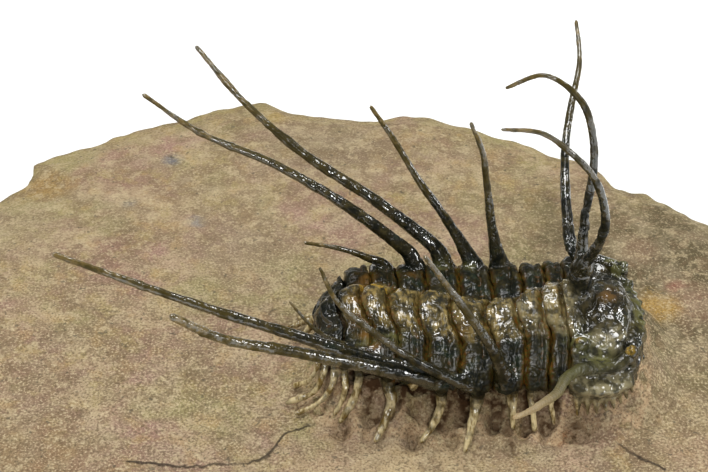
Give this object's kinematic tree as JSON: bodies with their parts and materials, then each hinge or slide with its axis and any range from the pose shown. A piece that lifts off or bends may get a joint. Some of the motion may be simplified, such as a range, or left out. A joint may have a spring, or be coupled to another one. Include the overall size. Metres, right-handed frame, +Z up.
{
  "type": "fossil ceratonurus trilobite on matrix",
  "caption": "Spiny fossil trilobite with long free-standing spines and backswept horns, prepared in the round on a flat-bottomed block of limestone.",
  "frame": {"origin": "middle of the bounding box on the flat underside of the block, which rests on the surface", "axes": "+X along the animal towards its head, +Y to the animal's left, +Z up from the bedding plane"},
  "size_m": [0.122, 0.106, 0.0661],
  "materials": {
    "dark_calcite": "glossy, coated fossil calcite",
    "limestone": "matt, scraped limestone"
  },
  "bodies": {
    "root": {"cephalon": "dark_calcite", "thoracic_segment_1": "dark_calcite", "thoracic_segment_2": "dark_calcite", "thoracic_segment_3": "dark_calcite", "thoracic_segment_4": "dark_calcite", "thoracic_segment_5": "dark_calcite", "thoracic_segment_6": "dark_calcite", "thoracic_segment_7": "dark_calcite", "thoracic_segment_8": "dark_calcite", "pygidium": "dark_calcite", "matrix_slab": "limestone"}
  },
  "joints": []
}
